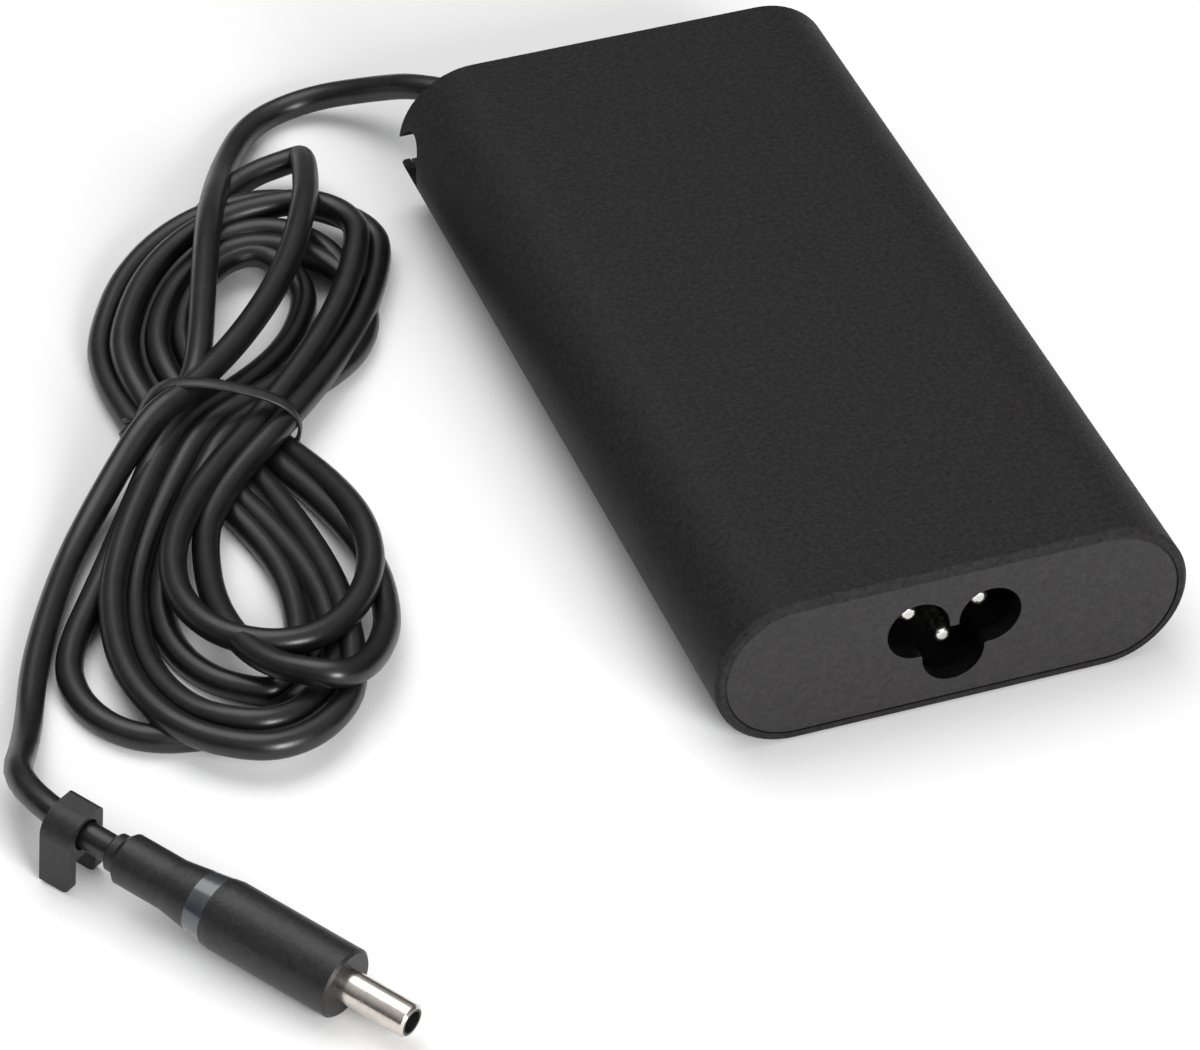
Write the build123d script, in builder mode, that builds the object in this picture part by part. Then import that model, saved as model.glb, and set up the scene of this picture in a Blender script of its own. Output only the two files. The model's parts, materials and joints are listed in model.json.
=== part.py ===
from build123d import *
import math
import os

# Laptop power adapter: a slim stadium-section brick with a three-pin inlet in one end and a captive
# output cord at the other, its cord wound into a tied figure-eight hank, ending in a barrel plug.
# Millimetres. Origin at the middle of the brick's underside, +Z up, +Y from the inlet end to the
# cord end, +X to the right of the brick seen from the inlet end.

# Brick
CASE_L = 130.0
CASE_W = 66.0
CASE_H = 22.6
WALL = 1.3
RIM_CHAMFER = 0.5
MID_Z = CASE_H / 2

# End caps, pushed into the sleeve
CAP_INSET = 0.05
REAR_INSET = 0.15
CAP_GAP = 0.03
CAP_PLATE = 2.4
CAP_DEPTH = 9.0
CAP_W = CASE_W - 2 * WALL - 2 * CAP_GAP
CAP_H = CASE_H - 2 * WALL - 2 * CAP_GAP
CAP_POCKET_W = 54.0
CAP_POCKET_H = 17.2
CAP_CHAMFER = 0.25
FRONT_FACE = -CASE_L / 2 + CAP_INSET
REAR_FACE = CASE_L / 2 - REAR_INSET

# Cord notch in the rear left corner: an upright oval eyelet with a throat one cord high
NOTCH_FLOOR_X = -29.65
NOTCH_W = 7.0
NOTCH_H = 8.4
NOTCH_Y = 60.2
NOTCH_Z = 11.5
THROAT_LOW = 8.2
THROAT_HIGH = 12.3
THROAT_FLARE = 2.3

# Inlet: three round lobes, two above and one below
LOBE_R = 4.35
LIVE_X = 5.0
LIVE_Z = 13.4
EARTH_Z = 8.5
INLET_DEPTH = 12.0
INSULATOR_W = 22.0
INSULATOR_H = 16.2
INSULATOR_BACK = -47.5
PIN_R = 1.2
PIN_RECESS = 3.5
PIN_TAIL_Y = -44.6
TAB_W = 1.6
TAB_T = 0.9

# Circuit board and what stands on it
BOARD_W = 54.0
BOARD_Y0 = -46.0
BOARD_Y1 = 48.0
BOARD_Z = 4.4
BOARD_T = 1.6
DECK = BOARD_Z + BOARD_T
SHIELD_Z = 19.8
SHIELD_T = 0.8

# Output cord
CORD_D = 3.8
CORD_R = CORD_D / 2
EXIT = Vector(-12.0, CASE_L / 2, MID_Z)
EXIT_ANGLE = 45.0
EXIT_DIR = Vector(-math.sin(math.radians(EXIT_ANGLE)), math.cos(math.radians(EXIT_ANGLE)), 0)
RELIEF_R = 3.3
RELIEF_TIP_R = 2.35
RELIEF_IN = 5.5
RELIEF_STRAIGHT = 3.4
RELIEF_OUT = 9.0
LEAD_START = EXIT + EXIT_DIR * RELIEF_OUT
LEAD_FIRST_RUN = 9.0

# The cord from the strain relief to the hank, and from the hank to the plug, as routes of points
LEAD_ROUTE = [
    tuple(LEAD_START),
    tuple(LEAD_START + EXIT_DIR * LEAD_FIRST_RUN),
    (-30.2, 86.2, 6.4),
    (-38.4, 92.4, 2.5),
    (-48.2, 89.8, 1.9),
    (-55.4, 78.4, 3.6),
    (-60.4, 66.6, 7.2),
    (-64.6, 56.6, 9.2),
]
PLUG_BACK = Vector(-113.2, -64.8, 8.0)
PLUG_FRONT = Vector(-92.4, -94.8, 4.85)
PLUG_AXIS = (PLUG_FRONT - PLUG_BACK).normalized()
LAST_RUN = 17.0
TAIL_ROUTE = [
    (-84.0, 18.0, 7.0),
    (-92.0, 11.4, 3.9),
    (-99.8, 2.2, 1.9),
    (-106.6, -8.6, 1.9),
    (-111.8, -20.6, 1.9),
    (-116.0, -33.4, 2.2),
    tuple(PLUG_BACK - PLUG_AXIS * LAST_RUN),
    tuple(PLUG_BACK),
]

# Hank of cord: a figure eight seen from above, lying along HANK_ANGLE from +Y, tied at its waist
HANK_WAIST = (-75.0, 17.4)
HANK_ANGLE = 19.66
HANK_H = 11.0
HANK_SIDE = [
    (-10.9, 0), (-11.0, -5), (-12.6, -15), (-15.0, -26), (-17.2, -37), (-18.8, -47), (-16.5, -57),
    (-8.0, -64.0), (4.0, -68.0), (14.5, -66.0), (22.0, -56), (25.8, -40), (24.6, -26), (20.0, -12),
    (14.2, -4.5), (10.9, 0), (14.2, 7), (19.0, 18), (21.8, 29), (23.2, 41), (21.0, 51), (15.0, 57.5),
    (11.5, 63.0), (7.0, 64.5), (1.0, 61.0), (-6.0, 57.0), (-13.5, 50.0), (-18.6, 40.5), (-20.3, 29),
    (-19.2, 17), (-14.6, 6.5),
]
TIE_W = 2.2
TIE_T = 0.9
TIE_WAIST = 21.4
TIE_CORNER = 4.0
TWIST_R = 0.95
TWIST_L = 2.4

# Clip on the cord behind the plug: a ring round the cord on two legs that stand on the floor
CLIP_L = 4.85
CLIP_GAP = 4.5
CLIP_BORE_R = 2.2
CLIP_TOP = 2.75
CLIP_RING_R = 3.3
CLIP_LEG_T = 1.35
CLIP_LEG_DOWN = 8.2
CLIP_WEB = 0.9
CLIP_CORNER = 0.9
CLIP_LEG_CORNER = 1.2

# Plug
PLUG_L = (PLUG_FRONT - PLUG_BACK).length
PLUG_NECK_R = 2.6
PLUG_NECK_L = 1.5
PLUG_REAR_R = 3.5
PLUG_R = 4.75
TAPER_START = 9.5
TAPER_END = 18.0
RING_START = 14.0
RING_L = 2.8
RING_T = 0.9
BARREL_R = 2.25
BARREL_ROOT_R = 2.0
BARREL_T = 0.4
BARREL_OUT = 10.0
BARREL_IN = 6.0
TIP_LINER_T = 0.35
CENTRE_PIN_R = 0.35
CENTRE_PIN_SHY = 0.8

os.makedirs("parts", exist_ok=True)


def finish(builder, name):
    """Names a piece and writes its STEP file."""
    builder.part.label = name
    export_step(builder.part, f"parts/{name}.step")


def clover(radius):
    """The inlet's outline: three lobes and the web between them."""
    web_low = EARTH_Z - 2
    web_high = LIVE_Z - 2
    with BuildSketch() as outline:
        with BuildLine():
            Polyline(
                (-LIVE_X, LIVE_Z),
                (0, LIVE_Z - 0.4),
                (LIVE_X, LIVE_Z),
                (LIVE_X + 2, web_high),
                (2, web_low),
                (-2, web_low),
                (-LIVE_X - 2, web_high),
                close=True,
            )
        make_face()
        with Locations((-LIVE_X, LIVE_Z), (LIVE_X, LIVE_Z), (0, EARTH_Z)):
            Circle(radius)
    return outline.sketch


def route_radii(points):
    """The radius of the arc at each inner point: as large as its two runs allow."""
    corners = [Vector(*point) for point in points]
    radii = []
    for before, here, after in zip(corners, corners[1:], corners[2:]):
        run_in = here - before
        run_out = after - here
        half_turn = math.radians(run_in.get_angle(run_out)) / 2
        radii.append(0.45 * min(run_in.length, run_out.length) / math.tan(half_turn))
    return radii


def section_plane(origin, axis):
    """A plane that holds an axis: its local y runs along the axis, its local x stands off it."""
    across = Vector(0, 0, 1).cross(axis).normalized()
    return Plane(origin=origin, x_dir=across, z_dir=across.cross(axis))


def half_profile(plane, points):
    """A closed face from (radius, distance) points, to be revolved about the plane's y axis."""
    with BuildSketch(plane) as outline:
        with BuildLine():
            Polyline(*points, close=True)
        make_face()
    return outline.sketch


# --- Brick: sleeve and end caps -------------------------------------------------------------------

inlet_end = Plane.XZ.offset(CASE_L / 2)
side_view = Plane(origin=(-CASE_W / 2 - 2, 0, 0), x_dir=(0, 1, 0), z_dir=(1, 0, 0))

with BuildPart() as notch_tool:
    with BuildSketch(side_view):
        with Locations((NOTCH_Y, NOTCH_Z)):
            SlotOverall(NOTCH_H, NOTCH_W, rotation=90)
        with BuildLine():
            Polyline(
                (NOTCH_Y, THROAT_LOW),
                (CASE_L / 2 + 1, THROAT_LOW),
                (CASE_L / 2 + 1, THROAT_HIGH),
                (CASE_L / 2, THROAT_HIGH),
                (NOTCH_Y + NOTCH_W / 4, THROAT_HIGH + THROAT_FLARE),
                (NOTCH_Y, THROAT_HIGH),
                close=True,
            )
        make_face()
    extrude(amount=NOTCH_FLOOR_X + CASE_W / 2 + 2)

with BuildPart() as sleeve:
    with BuildSketch(inlet_end):
        with Locations((0, MID_Z)):
            SlotOverall(CASE_W, CASE_H)
    extrude(amount=-CASE_L)
    end_edges = sleeve.faces().filter_by(Axis.Y).edges()
    chamfer(end_edges, length=RIM_CHAMFER)
    with BuildSketch(inlet_end):
        with Locations((0, MID_Z)):
            SlotOverall(CASE_W - 2 * WALL, CASE_H - 2 * WALL)
    extrude(amount=-CASE_L, mode=Mode.SUBTRACT)
    add(notch_tool.part, mode=Mode.SUBTRACT)
finish(sleeve, "sleeve")

with BuildPart() as inlet_cap:
    with BuildSketch(Plane.XZ.offset(-FRONT_FACE)):
        with Locations((0, MID_Z)):
            SlotOverall(CAP_W, CAP_H)
    extrude(amount=-CAP_DEPTH)
    chamfer(inlet_cap.faces().sort_by(Axis.Y)[0].edges(), length=CAP_CHAMFER)
    with BuildSketch(Plane.XZ.offset(-FRONT_FACE - CAP_PLATE)):
        with Locations((0, MID_Z)):
            SlotOverall(CAP_W - 3, CAP_H - 3)
    extrude(amount=-CAP_DEPTH, mode=Mode.SUBTRACT)
    with BuildSketch(inlet_end):
        add(clover(LOBE_R))
    extrude(amount=-CAP_INSET - CAP_PLATE, mode=Mode.SUBTRACT)
finish(inlet_cap, "inlet_cap")

with BuildPart() as rear_cap:
    with BuildSketch(Plane.XZ.offset(-REAR_FACE)):
        with Locations((0, MID_Z)):
            SlotOverall(CAP_W, CAP_H)
    extrude(amount=CAP_DEPTH)
    chamfer(rear_cap.faces().sort_by(Axis.Y)[-1].edges(), length=CAP_CHAMFER)
    with BuildSketch(Plane.XZ.offset(-REAR_FACE + CAP_PLATE)):
        with Locations((1.5, MID_Z)):
            SlotOverall(CAP_POCKET_W, CAP_POCKET_H)
    extrude(amount=CAP_DEPTH, mode=Mode.SUBTRACT)
    add(notch_tool.part, mode=Mode.SUBTRACT)
    with BuildSketch(Plane(origin=EXIT - EXIT_DIR * RELIEF_IN, z_dir=EXIT_DIR)):
        Circle(RELIEF_R)
    extrude(amount=RELIEF_IN + RELIEF_OUT, mode=Mode.SUBTRACT)
finish(rear_cap, "rear_cap")

# --- Inlet ----------------------------------------------------------------------------------------

inlet_seat = FRONT_FACE + CAP_PLATE
with BuildPart() as inlet_insulator:
    with BuildSketch(Plane.XZ.offset(-inlet_seat)):
        with Locations((0, MID_Z)):
            RectangleRounded(INSULATOR_W, INSULATOR_H, 2)
    extrude(amount=inlet_seat - INSULATOR_BACK)
    with BuildSketch(Plane.XZ.offset(-inlet_seat)):
        add(clover(LOBE_R))
    extrude(amount=-INLET_DEPTH, mode=Mode.SUBTRACT)
    with BuildSketch(Plane.XZ.offset(-inlet_seat)):
        with Locations((-LIVE_X, LIVE_Z), (LIVE_X, LIVE_Z), (0, EARTH_Z)):
            Circle(PIN_R)
    extrude(amount=inlet_seat - INSULATOR_BACK, mode=Mode.SUBTRACT)
finish(inlet_insulator, "inlet_insulator")

pin_tip = FRONT_FACE + PIN_RECESS
for pin_name, pin_x, pin_z in (
    ("line_pin", -LIVE_X, LIVE_Z),
    ("neutral_pin", LIVE_X, LIVE_Z),
    ("earth_pin", 0, EARTH_Z),
):
    with BuildPart() as inlet_pin:
        with BuildSketch(Plane.XZ.offset(-pin_tip)):
            with Locations((pin_x, pin_z)):
                Circle(PIN_R)
        extrude(amount=pin_tip - PIN_TAIL_Y)
        fillet(inlet_pin.faces().sort_by(Axis.Y)[0].edges(), radius=PIN_R * 0.6)
        with BuildSketch(Plane.XY.offset(DECK)):
            with Locations((pin_x, PIN_TAIL_Y - TAB_T / 2)):
                Rectangle(TAB_W, TAB_T)
        extrude(amount=pin_z - DECK)
    finish(inlet_pin, pin_name)

# --- Circuit board and its parts ------------------------------------------------------------------

board_mid = (BOARD_Y0 + BOARD_Y1) / 2
board_l = BOARD_Y1 - BOARD_Y0

with BuildPart() as circuit_board:
    with BuildSketch(Plane.XY.offset(BOARD_Z)):
        with Locations((0, board_mid)):
            RectangleRounded(BOARD_W, board_l, 2)
    extrude(amount=BOARD_T)
finish(circuit_board, "circuit_board")

SHEET_W = 48.0
SHEET_T = 0.5
SHEET_Z = 2.2
with BuildPart() as insulation_sheet:
    with BuildSketch(Plane.XY.offset(SHEET_Z)):
        with Locations((0, board_mid)):
            Rectangle(SHEET_W, board_l)
    extrude(amount=BOARD_Z - SHEET_Z)
    with BuildSketch(Plane.XY.offset(SHEET_Z + SHEET_T)):
        with Locations((0, board_mid)):
            Rectangle(SHEET_W - 2 * SHEET_T, board_l)
    extrude(amount=BOARD_Z, mode=Mode.SUBTRACT)
finish(insulation_sheet, "insulation_sheet")

with BuildPart() as heat_spreader:
    with BuildSketch(Plane.XY.offset(SHIELD_Z)):
        with Locations((0, board_mid)):
            RectangleRounded(40, board_l - 6, 2)
    extrude(amount=SHIELD_T)
finish(heat_spreader, "heat_spreader")


def block(name, x, y, width, length, height, corner=0.4):
    """A rounded block that stands on the board."""
    with BuildPart() as piece:
        with BuildSketch(Plane.XY.offset(DECK)):
            with Locations((x, y)):
                RectangleRounded(width, length, corner)
        extrude(amount=height)
    finish(piece, name)


block("x_capacitor", -15, -38.5, 18, 7, 12)
block("bridge_rectifier", -16.5, -29.5, 15, 3.4, 11)
block("switching_transistor", 18.6, -14, 4.4, 10, 13)
block("controller_chip", 1, -19, 6, 5, 1.6, 0.3)
block("output_rectifier", 10, 25.4, 10, 4.4, 12.5)
block("optocoupler", -17, 17, 6.5, 4.6, 3.4, 0.3)

with BuildPart() as input_fuse:
    with BuildSketch(Plane.XY.offset(DECK)):
        with Locations((0, -38.5)):
            Circle(2.6)
    extrude(amount=9)
    fillet(input_fuse.faces().sort_by(Axis.Z)[-1].edges(), radius=0.8)
finish(input_fuse, "input_fuse")

with BuildPart() as common_mode_choke:
    with BuildSketch(Plane(origin=(15, -34, DECK + 2.8), x_dir=(1, 0, 0), z_dir=(0, -1, 0))):
        with Locations((5.6, 0)):
            Circle(2.8)
    revolve(axis=Axis((15, -34, 0), (0, 0, 1)))
finish(common_mode_choke, "common_mode_choke")

with BuildPart() as y_capacitor:
    with BuildSketch(Plane.YZ.offset(-2)):
        with Locations((-29, DECK + 4.2)):
            Circle(4.2)
    extrude(amount=3)
    fillet(y_capacitor.edges().filter_by(GeomType.CIRCLE), radius=1)
finish(y_capacitor, "y_capacitor")

BULK_R = 6.5
with BuildPart() as bulk_capacitor:
    with BuildSketch(Plane.XZ.offset(24)):
        with Locations((-17.6, DECK + BULK_R)):
            Circle(BULK_R)
    extrude(amount=-36)
    fillet(bulk_capacitor.edges().filter_by(GeomType.CIRCLE), radius=0.8)
finish(bulk_capacitor, "bulk_capacitor")

with BuildPart() as primary_heatsink:
    with BuildSketch(Plane.XY.offset(DECK)):
        with Locations((21.6, -3)):
            Rectangle(1.6, 36)
        with Locations((19.8, 14.2)):
            Rectangle(5.2, 1.6)
    extrude(amount=12.4)
finish(primary_heatsink, "primary_heatsink")

with BuildPart() as secondary_heatsink:
    with BuildSketch(Plane.XY.offset(DECK)):
        with Locations((9, 22.4)):
            Rectangle(32, 1.6)
        with Locations((24.2, 27.4)):
            Rectangle(1.6, 11.6)
    extrude(amount=12)
finish(secondary_heatsink, "secondary_heatsink")

CORE_X = 3.0
CORE_Y = 5.0
with BuildPart() as transformer_core:
    with BuildSketch(Plane.XY.offset(DECK)):
        with Locations((CORE_X, CORE_Y)):
            Rectangle(27, 12)
    extrude(amount=13)
    with BuildSketch(Plane.XZ.offset(-CORE_Y + 7)):
        with Locations((CORE_X - 7, DECK + 6.5), (CORE_X + 7, DECK + 6.5)):
            Rectangle(7, 7.8)
    extrude(amount=-14, mode=Mode.SUBTRACT)
finish(transformer_core, "transformer_core")

with BuildPart() as transformer_winding:
    with BuildSketch(Plane.XY.offset(DECK + 2.7)):
        with Locations((CORE_X, CORE_Y)):
            RectangleRounded(20.6, 24, 5)
            Rectangle(7, 12, mode=Mode.SUBTRACT)
    extrude(amount=7.6)
finish(transformer_winding, "transformer_winding")

with BuildPart() as output_capacitors:
    with BuildSketch(Plane.XY.offset(DECK)):
        with Locations((-5, 36), (5, 36), (15, 36)):
            Circle(4)
    extrude(amount=12.5)
    fillet(output_capacitors.faces().sort_by(Axis.Z)[-3:].edges(), radius=0.6)
finish(output_capacitors, "output_capacitors")

with BuildPart() as output_choke:
    with BuildSketch(Plane(origin=(-18, 29, DECK + 3.2), x_dir=(1, 0, 0), z_dir=(0, -1, 0))):
        with Locations((4.8, 0)):
            Circle(3.2)
    revolve(axis=Axis((-18, 29, 0), (0, 0, 1)))
finish(output_choke, "output_choke")

# --- Output cord: strain relief, inner leads, tubes and hank --------------------------------------

relief_section = section_plane(EXIT, EXIT_DIR)
with BuildPart() as strain_relief:
    relief_profile = [
        (0, -RELIEF_IN),
        (RELIEF_R, -RELIEF_IN),
        (RELIEF_R, RELIEF_STRAIGHT),
        (RELIEF_TIP_R, RELIEF_OUT),
        (0, RELIEF_OUT),
    ]
    revolve(half_profile(relief_section, relief_profile), axis=Axis(EXIT, EXIT_DIR))
finish(strain_relief, "strain_relief")

LEAD_WIRE_R = 0.7
LEAD_WIRE_APART = 1.7
wire_start = EXIT - EXIT_DIR * RELIEF_IN
with BuildPart() as output_leads:
    for side in (-1, 1):
        across = Vector(0, 0, 1).cross(EXIT_DIR) * side * LEAD_WIRE_APART / 2
        here = wire_start + across
        foot = Vector(here.X + 1.5, BOARD_Y1 - 3.5, DECK)
        with BuildLine() as wire_path:
            FilletPolyline(here, here - EXIT_DIR * 4, Vector(foot.X, foot.Y, MID_Z - 1), foot, radius=1.6)
        with BuildSketch(Plane(origin=here, z_dir=-EXIT_DIR)):
            Circle(LEAD_WIRE_R)
        sweep(path=wire_path.wires()[0])
finish(output_leads, "output_leads")


def cord_tube(route, name):
    """A tube along straight runs joined by tangent arcs."""
    radii = route_radii(route)
    start = Vector(*route[0])
    heading = (Vector(*route[1]) - start).normalized()
    with BuildPart() as tube:
        with BuildLine() as path:
            FilletPolyline(*route, radius=radii)
        with BuildSketch(Plane(origin=start, z_dir=heading)):
            Circle(CORD_R)
        sweep(path=path.wires()[0])
    length = path.wires()[0].length
    expected = math.pi * CORD_R**2 * length
    print(name, "length", round(length, 1), "radii", [round(value, 1) for value in radii])
    print(name, "volume over section times length", round(tube.part.volume / expected, 4))
    finish(tube, name)


cord_tube(LEAD_ROUTE, "cord_lead")
cord_tube(TAIL_ROUTE, "cord_tail")

along_hank = Vector(math.sin(math.radians(HANK_ANGLE)), math.cos(math.radians(HANK_ANGLE)), 0)
across_hank = Vector(along_hank.Y, -along_hank.X, 0)
hank_plan = Plane(origin=HANK_WAIST, x_dir=across_hank, z_dir=(0, 0, 1))
waist_section = Plane(origin=HANK_WAIST, x_dir=across_hank, z_dir=-along_hank)

with BuildPart() as twist_tie:
    tie_h = HANK_H + TIE_T
    with BuildSketch(waist_section.offset(-TIE_W / 2)):
        with Locations((0, tie_h / 2)):
            RectangleRounded(TIE_WAIST + 2 * TIE_T, tie_h, TIE_CORNER)
        with Locations((0, (HANK_H + TIE_T) / 2)):
            RectangleRounded(TIE_WAIST, HANK_H - TIE_T, TIE_CORNER - TIE_T, mode=Mode.SUBTRACT)
    extrude(amount=TIE_W)
    twist_root = waist_section.origin + Vector(0, 0, 6.5) - across_hank * (TIE_WAIST / 2 + TIE_T / 2)
    with BuildSketch(Plane(origin=twist_root, z_dir=-across_hank)):
        Circle(TWIST_R)
    extrude(amount=TWIST_L)
finish(twist_tie, "twist_tie")

with BuildPart() as cord_hank:
    with BuildSketch(hank_plan):
        with BuildLine():
            Spline(*HANK_SIDE, periodic=True)
        make_face()
    extrude(amount=HANK_H)
    add(twist_tie.part, mode=Mode.SUBTRACT)
finish(cord_hank, "cord_hank")

# --- Clip -----------------------------------------------------------------------------------------

clip_front = PLUG_BACK - PLUG_AXIS * CLIP_GAP
towards_leg = Vector(PLUG_AXIS.Y, -PLUG_AXIS.X, 0).normalized()
clip_section = Plane(origin=clip_front, x_dir=towards_leg, z_dir=-PLUG_AXIS)
slot_top = -CLIP_BORE_R - CLIP_WEB
slot_w = 2 * (CLIP_RING_R - CLIP_LEG_T)
with BuildPart() as cord_clip:
    with BuildSketch(clip_section):
        with BuildLine():
            Line((CLIP_RING_R, CLIP_TOP - CLIP_RING_R), (CLIP_RING_R, -CLIP_LEG_DOWN))
            Line((CLIP_RING_R, -CLIP_LEG_DOWN), (-CLIP_RING_R, -CLIP_LEG_DOWN))
            Line((-CLIP_RING_R, -CLIP_LEG_DOWN), (-CLIP_RING_R, CLIP_TOP - CLIP_CORNER))
            JernArc((-CLIP_RING_R, CLIP_TOP - CLIP_CORNER), (0, 1), CLIP_CORNER, -90)
            Line((-CLIP_RING_R + CLIP_CORNER, CLIP_TOP), (0, CLIP_TOP))
            JernArc((0, CLIP_TOP), (1, 0), CLIP_RING_R, -90)
        make_face()
        Circle(CLIP_BORE_R, mode=Mode.SUBTRACT)
        with Locations((0, (slot_top - CLIP_LEG_DOWN) / 2 - 1)):
            Rectangle(slot_w, slot_top + CLIP_LEG_DOWN + 2, mode=Mode.SUBTRACT)
    extrude(amount=CLIP_L)
    back_corners = cord_clip.edges().filter_by(Axis(clip_front, towards_leg)).group_by(Axis.Z)[0]
    fillet(back_corners.sort_by(Axis(clip_front, -PLUG_AXIS))[-2:], radius=CLIP_LEG_CORNER)
finish(cord_clip, "cord_clip")

# --- Plug -----------------------------------------------------------------------------------------

plug_section = section_plane(PLUG_BACK, PLUG_AXIS)
plug_axis = Axis(PLUG_BACK, PLUG_AXIS)


def plug_r(distance):
    """The housing's radius at a distance from its back."""
    if distance < TAPER_START:
        return PLUG_REAR_R
    if distance < TAPER_END:
        return PLUG_REAR_R + (PLUG_R - PLUG_REAR_R) * (distance - TAPER_START) / (TAPER_END - TAPER_START)
    return PLUG_R


ring_end = RING_START + RING_L
barrel_back = PLUG_L - BARREL_IN
barrel_tip = PLUG_L + BARREL_OUT
bore_r = BARREL_R - BARREL_T
liner_r = bore_r - TIP_LINER_T

with BuildPart() as plug_housing:
    housing_profile = [
        (0, 0),
        (PLUG_NECK_R - 0.3, 0),
        (PLUG_NECK_R, 0.3),
        (PLUG_NECK_R, PLUG_NECK_L),
        (PLUG_REAR_R - 0.7, PLUG_NECK_L),
        (PLUG_REAR_R, PLUG_NECK_L + 0.8),
        (PLUG_REAR_R, TAPER_START),
        (plug_r(RING_START), RING_START),
        (plug_r(RING_START) - RING_T, RING_START),
        (plug_r(ring_end) - RING_T, ring_end),
        (plug_r(ring_end), ring_end),
        (PLUG_R, TAPER_END),
        (PLUG_R, PLUG_L - 0.4),
        (PLUG_R - 0.4, PLUG_L),
        (BARREL_R, PLUG_L),
        (BARREL_ROOT_R, barrel_back),
        (0, barrel_back),
    ]
    revolve(half_profile(plug_section, housing_profile), axis=plug_axis)
finish(plug_housing, "plug_housing")

with BuildPart() as plug_light_ring:
    ring_profile = [
        (plug_r(RING_START) - RING_T, RING_START),
        (plug_r(RING_START), RING_START),
        (plug_r(ring_end), ring_end),
        (plug_r(ring_end) - RING_T, ring_end),
    ]
    revolve(half_profile(plug_section, ring_profile), axis=plug_axis)
finish(plug_light_ring, "plug_light_ring")

with BuildPart() as plug_barrel:
    barrel_profile = [
        (bore_r, barrel_back),
        (BARREL_ROOT_R, barrel_back),
        (BARREL_R, PLUG_L),
        (BARREL_R, barrel_tip - 0.3),
        (BARREL_R - 0.3, barrel_tip),
        (bore_r, barrel_tip),
    ]
    revolve(half_profile(plug_section, barrel_profile), axis=plug_axis)
finish(plug_barrel, "plug_barrel")

with BuildPart() as barrel_liner:
    liner_profile = [
        (CENTRE_PIN_R, barrel_back),
        (bore_r, barrel_back),
        (bore_r, barrel_tip),
        (liner_r, barrel_tip),
        (liner_r, barrel_back + 1.5),
        (CENTRE_PIN_R, barrel_back + 1.5),
    ]
    revolve(half_profile(plug_section, liner_profile), axis=plug_axis)
finish(barrel_liner, "barrel_liner")

with BuildPart() as centre_pin:
    pin_profile = [
        (0, barrel_back),
        (CENTRE_PIN_R, barrel_back),
        (CENTRE_PIN_R, barrel_tip - CENTRE_PIN_SHY - 0.2),
        (CENTRE_PIN_R - 0.2, barrel_tip - CENTRE_PIN_SHY),
        (0, barrel_tip - CENTRE_PIN_SHY),
    ]
    revolve(half_profile(plug_section, pin_profile), axis=plug_axis)
finish(centre_pin, "centre_pin")
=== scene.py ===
import json
import math

import bmesh
import bpy
from mathutils import Matrix, Vector


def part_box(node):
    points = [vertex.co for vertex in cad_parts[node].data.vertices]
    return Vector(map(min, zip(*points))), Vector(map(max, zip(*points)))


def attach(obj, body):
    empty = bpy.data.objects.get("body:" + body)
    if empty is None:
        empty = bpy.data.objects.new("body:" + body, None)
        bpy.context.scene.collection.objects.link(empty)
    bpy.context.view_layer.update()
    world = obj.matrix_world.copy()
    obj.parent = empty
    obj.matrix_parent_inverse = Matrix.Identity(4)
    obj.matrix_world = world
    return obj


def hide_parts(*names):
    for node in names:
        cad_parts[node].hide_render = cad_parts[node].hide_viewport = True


# A laptop power adapter on a pale floor. Lengths are in millimetres and MM turns them into metres.
MM = 0.001

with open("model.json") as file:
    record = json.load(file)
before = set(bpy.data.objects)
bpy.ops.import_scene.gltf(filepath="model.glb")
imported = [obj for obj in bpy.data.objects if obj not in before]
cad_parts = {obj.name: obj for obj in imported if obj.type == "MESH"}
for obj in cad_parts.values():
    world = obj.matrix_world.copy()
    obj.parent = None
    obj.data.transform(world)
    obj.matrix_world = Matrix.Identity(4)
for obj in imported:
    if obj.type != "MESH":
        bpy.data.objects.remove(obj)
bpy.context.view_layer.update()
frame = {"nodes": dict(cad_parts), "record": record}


def metres(point):
    """A point given in millimetres, as a vector in metres."""
    return Vector(point) * MM


# --- Camera ---------------------------------------------------------------------------------------

CAMERA_PLACE = (-249.64, -627.41, 518.83)
CAMERA_AZIMUTH = -19.6614
CAMERA_ELEVATION = 38.556
CAMERA_ROLL = -0.1035
SENSOR = 36.0
LENS = 184.40
# The nearest and farthest that the camera sees, in metres
CLIP_NEAR = 0.05
CLIP_FAR = 20


def add_camera():
    azimuth = math.radians(CAMERA_AZIMUTH)
    elevation = math.radians(CAMERA_ELEVATION)
    roll = math.radians(CAMERA_ROLL)
    level = Vector((math.cos(azimuth), math.sin(azimuth), 0))
    back = Vector((
        math.sin(azimuth) * math.cos(elevation),
        -math.cos(azimuth) * math.cos(elevation),
        math.sin(elevation),
    ))
    upward = back.cross(level)
    right = level * math.cos(roll) + upward * math.sin(roll)
    up = back.cross(right)
    camera_data = bpy.data.cameras.new("camera")
    camera_data.sensor_width = SENSOR
    camera_data.lens = LENS
    camera_data.clip_start = CLIP_NEAR
    camera_data.clip_end = CLIP_FAR
    camera = bpy.data.objects.new("camera", camera_data)
    turn = Matrix((right, up, back)).transposed()
    camera.matrix_world = Matrix.Translation(metres(CAMERA_PLACE)) @ turn.to_4x4()
    bpy.context.scene.collection.objects.link(camera)
    bpy.context.scene.camera = camera


add_camera()

# --- Cord -----------------------------------------------------------------------------------------

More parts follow.
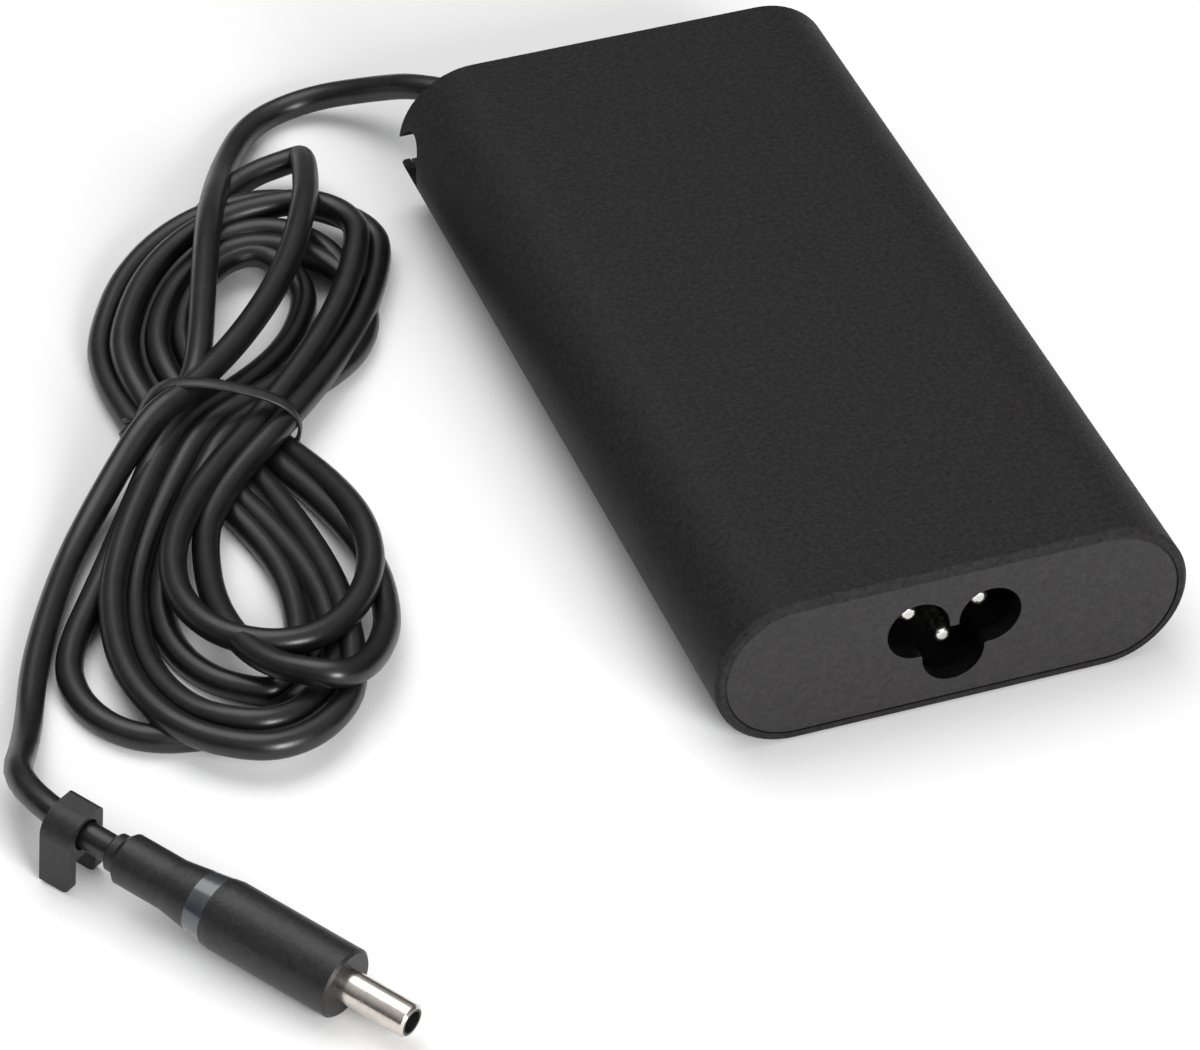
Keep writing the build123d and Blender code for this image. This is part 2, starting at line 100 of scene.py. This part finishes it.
CORD_D = 3.8
CORD_R = CORD_D / 2
CASE_L = 130.0
EXIT_ANGLE = math.radians(45)
EXIT_DIR = Vector((-math.sin(EXIT_ANGLE), math.cos(EXIT_ANGLE), 0))
EXIT = Vector((-12.0, CASE_L / 2, 11.3))
RELIEF_OUT = 9.0
LEAD_START = EXIT + EXIT_DIR * RELIEF_OUT
LEAD_FIRST_RUN = 9.0
LEAD_ROUTE = [
    tuple(LEAD_START),
    tuple(LEAD_START + EXIT_DIR * LEAD_FIRST_RUN),
    (-30.2, 86.2, 6.4),
    (-38.4, 92.4, 2.5),
    (-48.2, 89.8, 1.9),
    (-55.4, 78.4, 3.6),
    (-60.4, 66.6, 7.2),
]
PLUG_BACK = Vector((-113.2, -64.8, 8.0))
PLUG_FRONT = Vector((-92.4, -94.8, 4.85))
PLUG_AXIS = (PLUG_FRONT - PLUG_BACK).normalized()
LAST_RUN = 17.0
TAIL_ROUTE = [
    (-84.0, 18.0, 9.2),
    (-92.0, 11.4, 4.4),
    (-99.8, 2.2, 1.9),
    (-106.0, -8.6, 1.9),
    (-111.8, -20.6, 1.9),
    (-116.0, -33.4, 2.2),
    tuple(PLUG_BACK - PLUG_AXIS * LAST_RUN),
    tuple(PLUG_BACK),
]

# The hank lies along a line turned from +Y. Across and along are measured from the tie at its waist.
HANK_WAIST = Vector((-75.0, 17.4, 0))
HANK_ANGLE = math.radians(19.66)
ALONG = Vector((math.sin(HANK_ANGLE), math.cos(HANK_ANGLE), 0))
ACROSS = Vector((ALONG.y, -ALONG.x, 0))


def in_hank(across, along, height):
    """The point this far across and along the hank, and this high above the floor."""
    return HANK_WAIST + ACROSS * across + ALONG * along + Vector((0, 0, height))


# The spline passes inside its points, so the loops' points stand this much further out
SPREAD = 1.01

# Each loop, L below the waist and U above it: its widest point on the left, its far end, and its
# widest point on the right
LOOPS = {
    "L1": ((-17.6, -44.6, 1.9), (-3.8, -61.6, 1.9), (16.6, -44.7, 1.9)),
    "L2": ((-12.4, -35.5, 3.8), (8.1, -66.4, 4.8), (20.6, -50.7, 4.0)),
    "L3": ((-9.5, -33.2, 1.9), (7.5, -61.5, 4.8), (17.9, -45.4, 3.0)),
    "L4": ((-4.7, -29.5, 5.9), (10.0, -48.0, 6.7), (22.2, -29.6, 5.7)),
    "L5": ((-0.7, -23.1, 4.0), (16.9, -56.1, 8.5), (24.5, -38.4, 3.5)),
    "L6": ((-6.1, -33.2, 1.9), (8.9, -52.0, 1.9), (12.8, -38.5, 1.9)),
    "U1": ((-17.6, 24.4, 1.9), (4.0, 53.4, 5.0), (21.2, 44.2, 3.0)),
    "U2": ((-14.3, 22.1, 4.5), (8.2, 51.4, 6.3), (18.2, 42.6, 6.3)),
    "U3": ((-11.8, 25.6, 1.9), (4.6, 46.8, 5.0), (17.8, 31.1, 3.0)),
    "U4": ((-6.2, 23.4, 3.5), (3.0, 41.4, 4.6), (10.9, 32.0, 1.9)),
    "U5": ((-8.3, 33.8, 1.9), (8.6, 63.6, 5.0), (10.5, 46.2, 9.5)),
    "U6": ((-9.5, 22.1, 4.5), (4.8, 42.7, 5.2), (20.0, 27.8, 1.9)),
}
# The order in which the cord goes through the loops
WINDING = ["L1", "U3", "L3", "U2", "L4", "U4", "L2", "U6", "L6", "U1", "L5", "U5"]
# The first loop lies loose, its left leg straight
LOOSE_LOOP = WINDING[0]
# Where the cord crosses the waist before each loop, and where it leaves the last one
CROSSINGS = [
    (-6.4, -0.5, 6.2),
    (-1.8, 0, 1.9),
    (-1.8, 0, 5.7),
    (-5.4, 0, 1.9),
    (5.4, 0, 5.7),
    (9.0, 0, 1.9),
    (-5.4, 0, 5.7),
    (1.8, 0, 1.9),
    (1.8, 0, 5.7),
    (-9.0, 0, 1.9),
    (9.0, 0, 5.7),
    (5.4, 0, 1.9),
    (-3.9, 2.4, 9.4),
]
# Where a leg has points, as shares of its length, and a quarter ellipse, in degrees
LEG_STEPS = (1 / 3, 2 / 3, 1)
ARC_STEPS = (30, 60)


def blend(start, end, share):
    return start + (end - start) * share


def leg(crossing, widest, straight=False):
    """Points from the waist out to a loop's widest point, bowed unless straight."""
    points = []
    for share in LEG_STEPS:
        across = blend(crossing[0], widest[0], share if straight else math.sin(math.pi / 2 * share))
        along = widest[1] * share
        height = blend(crossing[2], widest[2], math.sin(math.pi / 2 * share))
        points.append(in_hank(across, along, height))
    return points


def arc(widest, apex):
    """Points of the quarter ellipse from a loop's widest point to its far end, without its ends."""
    points = []
    for degrees in ARC_STEPS:
        angle = math.radians(degrees)
        across = blend(apex[0], widest[0], math.cos(angle))
        along = blend(widest[1], apex[1], math.sin(angle))
        height = blend(widest[2], apex[2], degrees / 90)
        points.append(in_hank(across, along, height))
    return points


def hank_points():
    points = [in_hank(*CROSSINGS[0])]
    for loop, before, after in zip(WINDING, CROSSINGS, CROSSINGS[1:]):
        left, apex, right = ((across * SPREAD, along * SPREAD, z) for across, along, z in LOOPS[loop])
        points += leg(before, left, loop == LOOSE_LOOP) + arc(left, apex) + [in_hank(*apex)]
        points += list(reversed(arc(right, apex))) + list(reversed(leg(after, right)))
        points.append(in_hank(*after))
    return points


LEAD_ON_HANK = [
    (-64.2, 56.6, 9.3),
    (-68.8, 43.4, 9.4),
    (-72.6, 32.1, 9.3),
    (-75.8, 24.6, 8.4),
]


# Steps of the cord's line between two points, and of its round section
LINE_STEPS = 8
ROUND_STEPS = 6


def add_cord():
    """The whole cord on one smooth line, from the strain relief to the plug."""
    route = [Vector(point) for point in LEAD_ROUTE + LEAD_ON_HANK]
    route += hank_points()
    route += [Vector(point) for point in TAIL_ROUTE]
    curve = bpy.data.curves.new("cord", "CURVE")
    curve.dimensions = "3D"
    spline = curve.splines.new("NURBS")
    spline.points.add(len(route) - 1)
    for control, point in zip(spline.points, route):
        control.co = (*(point * MM), 1)
        # The points hold the radius and the bevel is 1, because the bounds take in a point's radius
        control.radius = CORD_R * MM
    spline.order_u = 3
    spline.use_endpoint_u = True
    spline.resolution_u = LINE_STEPS
    curve.bevel_depth = 1
    curve.bevel_resolution = ROUND_STEPS
    curve.use_fill_caps = True
    cord = bpy.data.objects.new("cord", curve)
    bpy.context.scene.collection.objects.link(cord)
    return cord


cord = add_cord()
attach(cord, "adapter")
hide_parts("cord_lead", "cord_hank", "cord_tail")

# --- Tie --------------------------------------------------------------------------------------------

BAND_W = 2.0
BAND_T = 0.6
TWIST_W = 1.2
STRIP_STEPS = 8
# The strip's edges against its middle, and the rib's foot against half the width
BAND_EDGE = 0.3
RIB_FOOT = 0.4
# The band round the waist, in across, along and height: over the strands and back under them
BAND_LINE = [
    (-11.2, 3.5, 3.0),
    (-10.4, 3.3, 6.0),
    (-8.8, 3.0, 8.8),
    (-6.2, 2.6, 10.7),
    (-2.0, 2.0, 11.4),
    (3.0, 1.7, 10.7),
    (8.0, 1.5, 9.0),
    (10.9, 1.5, 6.4),
    (11.3, 1.6, 3.2),
    (9.4, 1.8, 0.5),
    (0.0, 2.2, 0.4),
    (-9.0, 3.0, 0.5),
]
TWIST_LINES = [
    [(-11.2, 3.4, 3.6), (-12.2, 3.8, 3.4), (-12.9, 4.5, 2.6), (-13.1, 5.2, 1.7)],
    [(-11.2, 3.3, 3.2), (-12.1, 2.9, 2.8), (-12.9, 2.7, 2.0), (-13.3, 3.1, 1.2)],
]


def band_section(width, thickness):
    """A flat strip's section with a wire's rib along its middle."""
    half = width / 2
    low = thickness * BAND_EDGE
    foot = half * RIB_FOOT
    outline = [(-half, low), (-foot, low), (0, thickness / 2), (foot, low), (half, low)]
    return outline + [(x, -y) for x, y in reversed(outline)]


def smooth_line(points, closed):
    """Points along a Catmull-Rom line through the given points."""
    count = len(points)
    spans = count if closed else count - 1
    line = []
    for span in range(spans):
        if closed:
            p0, p1, p2, p3 = (points[(span + k) % count] for k in (-1, 0, 1, 2))
        else:
            p0, p1, p2, p3 = (points[min(max(span + k, 0), count - 1)] for k in (-1, 0, 1, 2))
        for step in range(STRIP_STEPS):
            t = step / STRIP_STEPS
            line.append(0.5 * (2 * p1 + (p2 - p0) * t + (2 * p0 - 5 * p1 + 4 * p2 - p3) * t * t
                               + (3 * p1 - p0 - 3 * p2 + p3) * t ** 3))
    if not closed:
        line.append(points[-1])
    return line


def strip_mesh(form, line, section, closed, side):
    """A strip swept along a line, its width kept along one direction."""
    rings = []
    count = len(line)
    for index, point in enumerate(line):
        ahead = line[(index + 1) % count] if closed else line[min(index + 1, count - 1)]
        behind = line[index - 1] if closed else line[max(index - 1, 0)]
        heading = (ahead - behind).normalized()
        across = (side - heading * side.dot(heading)).normalized()
        up = across.cross(heading)
        rings.append([form.verts.new((point + across * x + up * y) * MM) for x, y in section])
    pairs = list(zip(rings, rings[1:]))
    if closed:
        pairs.append((rings[-1], rings[0]))
    for near, far in pairs:
        for k in range(len(section)):
            after = (k + 1) % len(section)
            form.faces.new((near[k], near[after], far[after], far[k]))
    if not closed:
        form.faces.new(list(reversed(rings[0])))
        form.faces.new(rings[-1])


def mesh_piece(name, form, smooth=True):
    bmesh.ops.recalc_face_normals(form, faces=form.faces)
    mesh = bpy.data.meshes.new(name)
    form.to_mesh(mesh)
    form.free()
    if smooth:
        mesh.shade_smooth()
    piece = bpy.data.objects.new(name, mesh)
    bpy.context.scene.collection.objects.link(piece)
    return piece


def add_tie():
    form = bmesh.new()
    line = smooth_line([in_hank(*point) for point in BAND_LINE], closed=True)
    strip_mesh(form, line, band_section(BAND_W, BAND_T), True, ALONG)
    for points in TWIST_LINES:
        line = smooth_line([in_hank(*point) for point in points], closed=False)
        strip_mesh(form, line, band_section(TWIST_W, BAND_T), False, Vector((0, 0, 1)))
    return mesh_piece("tie_band", form)


tie = add_tie()
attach(tie, "adapter")
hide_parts("twist_tie")

# --- Materials ------------------------------------------------------------------------------------


def new_material(name, roughness, metallic=0.0):
    """A material with its node tree, its shader and a coordinate node in millimetres."""
    material = bpy.data.materials.new(name)
    material.use_nodes = True
    nodes = material.node_tree.nodes
    shader = nodes["Principled BSDF"]
    shader.inputs["Roughness"].default_value = roughness
    shader.inputs["Metallic"].default_value = metallic
    place = nodes.new("ShaderNodeTexCoord")
    scaled = nodes.new("ShaderNodeMapping")
    scaled.inputs["Scale"].default_value = (1000, 1000, 1000)
    material.node_tree.links.new(place.outputs["Object"], scaled.inputs["Vector"])
    return material, shader, scaled.outputs["Vector"]


def noise(material, place, scale, detail=3.0, roughness=0.55):
    node = material.node_tree.nodes.new("ShaderNodeTexNoise")
    node.inputs["Scale"].default_value = scale
    node.inputs["Detail"].default_value = detail
    node.inputs["Roughness"].default_value = roughness
    material.node_tree.links.new(place, node.inputs["Vector"])
    return node.outputs["Fac"]


# The noise values that a remap takes as its lowest and highest
NOISE_LOW = 0.3
NOISE_HIGH = 0.7


def remap(material, value, low, high):
    node = material.node_tree.nodes.new("ShaderNodeMapRange")
    node.inputs["From Min"].default_value = NOISE_LOW
    node.inputs["From Max"].default_value = NOISE_HIGH
    node.inputs["To Min"].default_value = low
    node.inputs["To Max"].default_value = high
    material.node_tree.links.new(value, node.inputs["Value"])
    return node.outputs["Result"]


def colour_ramp(material, value, stops):
    node = material.node_tree.nodes.new("ShaderNodeValToRGB")
    ramp = node.color_ramp
    while len(ramp.elements) < len(stops):
        ramp.elements.new(0.5)
    for element, (position, colour) in zip(ramp.elements, stops):
        element.position = position
        element.color = (*colour, 1)
    material.node_tree.links.new(value, node.inputs["Fac"])
    return node.outputs["Color"]


def add_bump(material, shader, height, depth):
    """Bump from a height between 0 and 1 that stands for a depth in millimetres."""
    node = material.node_tree.nodes.new("ShaderNodeBump")
    node.inputs["Strength"].default_value = 1.0
    node.inputs["Distance"].default_value = depth * MM
    material.node_tree.links.new(height, node.inputs["Height"])
    material.node_tree.links.new(node.outputs["Normal"], shader.inputs["Normal"])


def shade(colour, factor):
    return tuple(channel * factor for channel in colour)


# Plastic's gloss varies over patches of this noise scale, by this much roughness each way
GLOSS_PATCH = 0.12
GLOSS_SWAY = 0.02


def plastic(name, colour, roughness, grain=1.2, depth=0.03, mottle=0.25, specular=0.35, painted_shade=None):
    """Moulded plastic: an even colour with faint mottling, patchy gloss and a fine grain, and painted
    shade in black where a mask is given.
    """
    material, shader, place = new_material(name, roughness)
    links = material.node_tree.links
    shader.inputs["Specular IOR Level"].default_value = specular
    stops = [(0.3, shade(colour, 1 - mottle)), (0.7, shade(colour, 1 + mottle))]
    base_tone = colour_ramp(material, noise(material, place, grain, 4.0), stops)
    # Painted shade: the colour goes to black where the mask is 1
    if painted_shade:
        base_tone = paint_shade_black(material, base_tone, painted_shade(material))
    links.new(base_tone, shader.inputs["Base Color"])
    patches = noise(material, place, GLOSS_PATCH, 3.0)
    gloss = remap(material, patches, roughness - GLOSS_SWAY, roughness + GLOSS_SWAY)
    links.new(gloss, shader.inputs["Roughness"])
    add_bump(material, shader, noise(material, place, grain * 1.6, 4.0, 0.7), depth)
    return material


# The black of painted shade
PAINTED_SHADE_BLACK = (0.001, 0.001, 0.001, 1)


def paint_shade_black(material, colour, mask):
    """The colour, taken down to black as painted shade where the mask is 1."""
    mix = material.node_tree.nodes.new("ShaderNodeMix")
    mix.data_type = "RGBA"
    material.node_tree.links.new(mask, mix.inputs["Factor"])
    material.node_tree.links.new(colour, mix.inputs["A"])
    mix.inputs["B"].default_value = PAINTED_SHADE_BLACK
    return mix.outputs["Result"]


# How far the painted shade on the inlet's walls reaches from the inlet's middle, and the most that a
# shaded wall may face along Y
INLET_SHADE_REACH = 13.0
SHADED_WALL_FACING = 0.5


def inlet_wall_painted_shade(material):
    """1 on the walls of the inlet's opening, where the shade in the recess is painted black, and 0
    elsewhere.
    """
    nodes = material.node_tree.nodes
    links = material.node_tree.links
    low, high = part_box("inlet_insulator")
    middle = (low + high) / 2
    place = nodes.new("ShaderNodeTexCoord")
    away = nodes.new("ShaderNodeVectorMath")
    away.operation = "DISTANCE"
    links.new(place.outputs["Object"], away.inputs[0])
    away.inputs[1].default_value = (middle.x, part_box("inlet_cap")[0].y, middle.z)
    near = nodes.new("ShaderNodeMath")
    near.operation = "LESS_THAN"
    links.new(away.outputs["Value"], near.inputs[0])
    near.inputs[1].default_value = INLET_SHADE_REACH * MM
    split = nodes.new("ShaderNodeSeparateXYZ")
    links.new(place.outputs["Normal"], split.inputs["Vector"])
    facing = nodes.new("ShaderNodeMath")
    facing.operation = "ABSOLUTE"
    links.new(split.outputs["Y"], facing.inputs[0])
    sideways = nodes.new("ShaderNodeMath")
    sideways.operation = "LESS_THAN"
    links.new(facing.outputs["Value"], sideways.inputs[0])
    sideways.inputs[1].default_value = SHADED_WALL_FACING
    both = nodes.new("ShaderNodeMath")
    both.operation = "MULTIPLY"
    links.new(near.outputs["Value"], both.inputs[0])
    links.new(sideways.outputs["Value"], both.inputs[1])
    return both.outputs["Value"]


METAL_GRAIN = 1.5
METAL_DEPTH = 0.002


def metal(name, colour, roughness):
    """Plated or drawn metal with faint stains and fine scratches."""
    material, shader, place = new_material(name, roughness, metallic=1.0)
    links = material.node_tree.links
    stops = [(0.25, shade(colour, 0.78)), (0.75, colour)]
    links.new(colour_ramp(material, noise(material, place, 0.6, 3.0), stops), shader.inputs["Base Color"])
    gloss = remap(material, noise(material, place, METAL_GRAIN, 3.0), roughness - 0.05, roughness + 0.08)
    links.new(gloss, shader.inputs["Roughness"])
    add_bump(material, shader, noise(material, place, METAL_GRAIN, 2.0), METAL_DEPTH)
    return material


# The wave texture's scale that repeats once in a millimetre
WAVE_SCALE = 0.314


def wound(name, light, painted_shade, pitch, roughness, metallic):
    """Wire or tape wound in even turns up the Z axis, with painted shade in darker bands between the
    turns.
    """
    material, shader, place = new_material(name, roughness, metallic)
    wave = material.node_tree.nodes.new("ShaderNodeTexWave")
    wave.bands_direction = "Z"
    wave.inputs["Scale"].default_value = WAVE_SCALE / pitch
    wave.inputs["Distortion"].default_value = 0.4
    material.node_tree.links.new(place, wave.inputs["Vector"])
    # The darker colour is painted shade between the turns
    colour = colour_ramp(material, wave.outputs["Fac"], [(0.1, painted_shade), (0.6, light)])
    material.node_tree.links.new(colour, shader.inputs["Base Color"])
    add_bump(material, shader, wave.outputs["Fac"], pitch * 0.3)
    return material


def circuit_board():
    """Green solder mask over pale tracks."""
    material, shader, place = new_material("circuit_board", 0.35)
    cells = material.node_tree.nodes.new("ShaderNodeTexVoronoi")
    cells.feature = "DISTANCE_TO_EDGE"
    cells.distance = "CHEBYCHEV"
    cells.inputs["Scale"].default_value = 0.16
    material.node_tree.links.new(place, cells.inputs["Vector"])
    stops = [(0.04, (0.05, 0.16, 0.06)), (0.07, (0.012, 0.07, 0.03))]
    colour = colour_ramp(material, cells.outputs["Distance"], stops)
    material.node_tree.links.new(colour, shader.inputs["Base Color"])
    add_bump(material, shader, noise(material, place, 2.0), 0.02)
    return material


def cord_jacket():
    """Soft black PVC: satin, with faint dusty patches and an even fine grain."""
    material, shader, place = new_material("cord_jacket", 0.34)
    links = material.node_tree.links
    shader.inputs["Specular IOR Level"].default_value = 0.5
    stops = [(0.3, (0.0034, 0.0031, 0.0032)), (0.7, (0.0072, 0.0066, 0.0067))]
    links.new(colour_ramp(material, noise(material, place, 0.35, 4.0), stops), shader.inputs["Base Color"])
    gloss = remap(material, noise(material, place, 0.18, 3.0), 0.29, 0.39)
    links.new(gloss, shader.inputs["Roughness"])
    add_bump(material, shader, noise(material, place, 1.6, 4.0, 0.65), 0.02)
    return material


def light_ring():
    """Dark, faintly blue plastic under a glossy coat, for a ring that lets light through."""
    material, shader, place = new_material("light_ring", 0.22)
    links = material.node_tree.links
    stops = [(0.3, (0.018, 0.021, 0.028)), (0.7, (0.03, 0.035, 0.045))]
    links.new(colour_ramp(material, noise(material, place, 0.5, 3.0), stops), shader.inputs["Base Color"])
    shader.inputs["Specular IOR Level"].default_value = 0.8
    shader.inputs["Coat Weight"].default_value = 0.6
    shader.inputs["Coat Roughness"].default_value = 0.12
    add_bump(material, shader, noise(material, place, 1.5), 0.01)
    return material


BLACK = (0.0165, 0.0155, 0.0158)
MATERIALS = {
    "case_shell": plastic("case_shell", BLACK, 0.56, grain=1.5, depth=0.05, mottle=0.38, specular=0.11),
    # The end cap's colour has painted shade in black on the walls of the inlet's opening
    "end_cap": plastic(
        "end_cap", shade(BLACK, 1.4), 0.52, grain=1.5, depth=0.04, specular=0.22, painted_shade=inlet_wall_painted_shade
    ),
    "inlet_socket": plastic("inlet_socket", shade(BLACK, 0.15), 0.2, grain=0.8, depth=0.006, specular=0.4),
    "pin_metal": metal("pin_metal", (0.85, 0.84, 0.81), 0.22),
    "board": circuit_board(),
    "insulation": plastic("insulation", (0.55, 0.53, 0.46), 0.45, depth=0.01, mottle=0.08),
    "heatsink_metal": metal("heatsink_metal", (0.62, 0.63, 0.65), 0.35),
    "film_capacitor": plastic("film_capacitor", (0.55, 0.38, 0.06), 0.4, depth=0.01, mottle=0.1),
    "component_body": plastic("component_body", (0.02, 0.02, 0.021), 0.5, depth=0.02),
    # The copper's second colour is painted shade between its turns
    "copper_winding": wound("copper_winding", (0.55, 0.2, 0.06), (0.2, 0.06, 0.02), 0.5, 0.3, 0.8),
    "disc_capacitor": plastic("disc_capacitor", (0.05, 0.17, 0.42), 0.35, depth=0.02, mottle=0.15),
    "can_capacitor": plastic("can_capacitor", (0.02, 0.035, 0.09), 0.35, depth=0.01, mottle=0.1),
    "ferrite": plastic("ferrite", (0.035, 0.034, 0.036), 0.6, depth=0.05, mottle=0.35),
    # The tape's second colour is painted shade between its turns
    "winding_tape": wound("winding_tape", (0.75, 0.55, 0.08), (0.6, 0.42, 0.05), 3.0, 0.35, 0.0),
    "cord_jacket": cord_jacket(),
    "tie_strip": plastic("tie_strip", shade(BLACK, 1.2), 0.38, grain=1.0, depth=0.02, specular=0.45),
    "clip_plastic": plastic("clip_plastic", BLACK, 0.4, grain=1.4, depth=0.03, specular=0.3),
    "plug_body": plastic(
        "plug_body", shade(BLACK, 0.7), 0.4, grain=1.1, depth=0.06, mottle=0.4, specular=0.4
    ),
    "light_ring": light_ring(),
    "barrel_metal": metal("barrel_metal", (0.74, 0.69, 0.63), 0.2),
    "liner_plastic": plastic("liner_plastic", shade(BLACK, 0.6), 0.4, depth=0.01),
}


def dress(piece, slot):
    piece.data.materials.clear()
    piece.data.materials.append(MATERIALS[slot])


for subpart in frame["record"]["subparts"]:
    dress(frame["nodes"][subpart["node"]], subpart["material_slot"])
dress(cord, "cord_jacket")
dress(tie, "tie_strip")

# --- Floor and light ------------------------------------------------------------------------------

# The floor reaches this many metres each way
FLOOR_HALF = 3
FLOOR_COLOUR = (0.86, 0.86, 0.86)
# The sky's brightness from the horizon, at 0, to straight up, at 1
SKY = [(0.0, 0.03), (0.35, 0.18), (1.0, 0.8)]
# Each soft light: its name, power in watts, and size and place in metres
LIGHTS = [
    ("key", 3.6, 0.7, (-0.12, 0.3, 0.8)),
    ("front", 13.0, 0.45, (0.12, -1.01, 0.42)),
]


def add_sky():
    world = bpy.data.worlds.new("world")
    world.use_nodes = True
    nodes = world.node_tree.nodes
    links = world.node_tree.links
    place = nodes.new("ShaderNodeTexCoord")
    split = nodes.new("ShaderNodeSeparateXYZ")
    ramp = nodes.new("ShaderNodeValToRGB")
    while len(ramp.color_ramp.elements) < len(SKY):
        ramp.color_ramp.elements.new(0.5)
    for element, (height, bright) in zip(ramp.color_ramp.elements, SKY):
        element.position = height
        element.color = (bright, bright, bright, 1)
    links.new(place.outputs["Generated"], split.inputs["Vector"])
    links.new(split.outputs["Z"], ramp.inputs["Fac"])
    links.new(ramp.outputs["Color"], nodes["Background"].inputs["Color"])
    bpy.context.scene.world = world


def add_stage():
    form = bmesh.new()
    bmesh.ops.create_grid(form, x_segments=1, y_segments=1, size=FLOOR_HALF)
    floor = mesh_piece("floor", form, smooth=False)
    floor.data.materials.append(plastic("floor", FLOOR_COLOUR, 0.8, mottle=0.005, depth=0.0, specular=0.1))
    add_sky()
    for name, power, size, place in LIGHTS:
        light_data = bpy.data.lights.new(name, "AREA")
        light_data.energy = power
        light_data.size = size
        light = bpy.data.objects.new(name, light_data)
        light.location = place
        light.rotation_euler = (-light.location).to_track_quat("-Z", "Y").to_euler()
        bpy.context.scene.collection.objects.link(light)


add_stage()
bpy.context.scene.view_settings.view_transform = "Standard"

bpy.context.view_layer.update()
